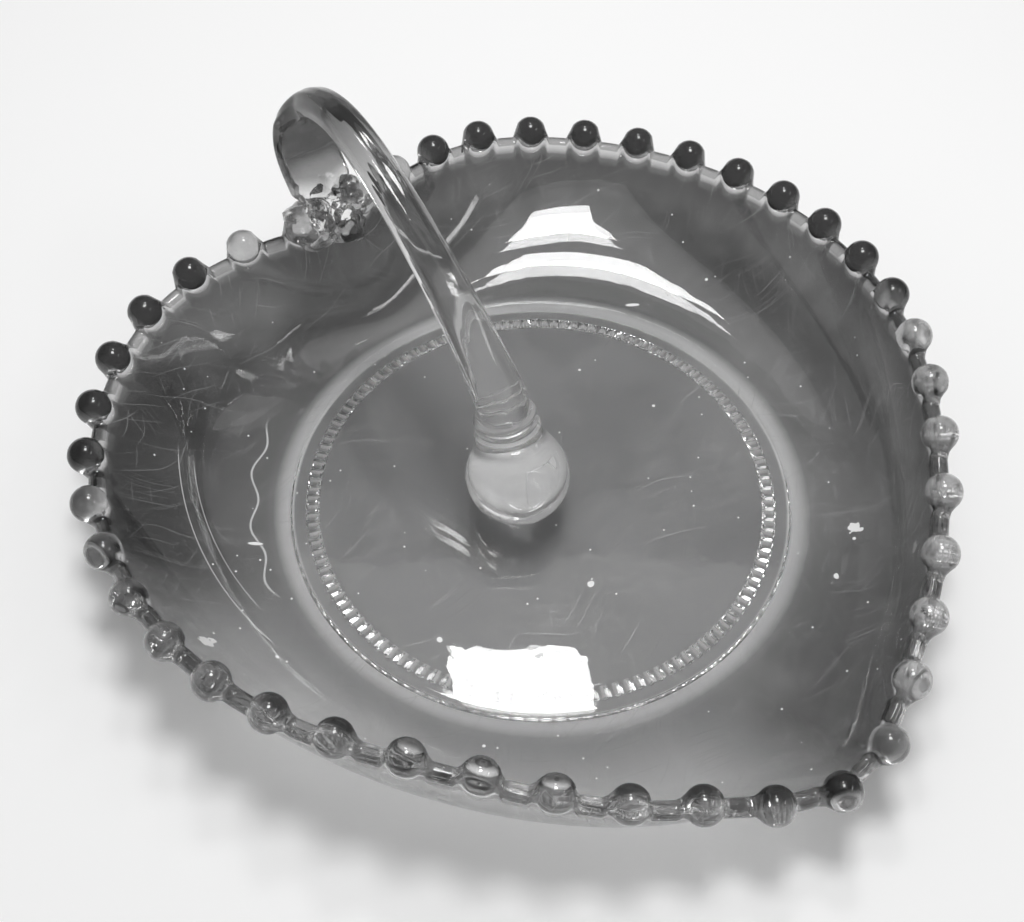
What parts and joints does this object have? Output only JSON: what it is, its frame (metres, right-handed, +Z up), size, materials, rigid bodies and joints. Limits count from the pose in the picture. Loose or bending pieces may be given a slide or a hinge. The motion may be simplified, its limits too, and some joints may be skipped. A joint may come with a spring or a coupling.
{
  "type": "wafer tray",
  "caption": "Heart-shaped clear glass tray with a round foot, a beaded rim and a handle that loops from the cleft over to a ball on the floor, for serving wafers or mints.",
  "frame": {"origin": "On the table, under the middle of the tray's bounding box in plan; the foot's axis is about 4 mm towards +Y from it.", "axes": "+Z is up, the heart's tip points along -Y, and the cleft with the handle's root is at +Y."},
  "size_m": [0.1526, 0.1538, 0.0579],
  "materials": {
    "clear_glass": "fire-polished clear pressed glass, smooth and glossy"
  },
  "bodies": {
    "root": {"tray_body": "clear_glass", "rim_bead_01": "clear_glass", "rim_bead_02": "clear_glass", "rim_bead_03": "clear_glass", "rim_bead_04": "clear_glass", "rim_bead_05": "clear_glass", "rim_bead_06": "clear_glass", "rim_bead_07": "clear_glass", "rim_bead_08": "clear_glass", "rim_bead_09": "clear_glass", "rim_bead_10": "clear_glass", "rim_bead_11": "clear_glass", "rim_bead_12": "clear_glass", "rim_bead_13": "clear_glass", "rim_bead_14": "clear_glass", "rim_bead_15": "clear_glass", "rim_bead_16": "clear_glass", "rim_bead_17": "clear_glass", "rim_bead_18": "clear_glass", "rim_bead_19": "clear_glass", "rim_bead_20": "clear_glass", "rim_bead_21": "clear_glass", "rim_bead_22": "clear_glass", "rim_bead_23": "clear_glass", "rim_bead_24": "clear_glass", "rim_bead_25": "clear_glass", "rim_bead_26": "clear_glass", "rim_bead_27": "clear_glass", "rim_bead_28": "clear_glass", "rim_bead_29": "clear_glass", "rim_bead_30": "clear_glass", "rim_bead_31": "clear_glass", "rim_bead_32": "clear_glass", "rim_bead_33": "clear_glass", "rim_bead_34": "clear_glass", "rim_bead_35": "clear_glass", "rim_bead_36": "clear_glass", "rim_bead_37": "clear_glass", "rim_bead_38": "clear_glass", "rim_bead_39": "clear_glass", "rim_bead_40": "clear_glass", "rim_bead_41": "clear_glass", "rim_bead_42": "clear_glass", "handle_root": "clear_glass", "handle_rod": "clear_glass", "handle_collar": "clear_glass", "handle_ball": "clear_glass"}
  },
  "joints": []
}
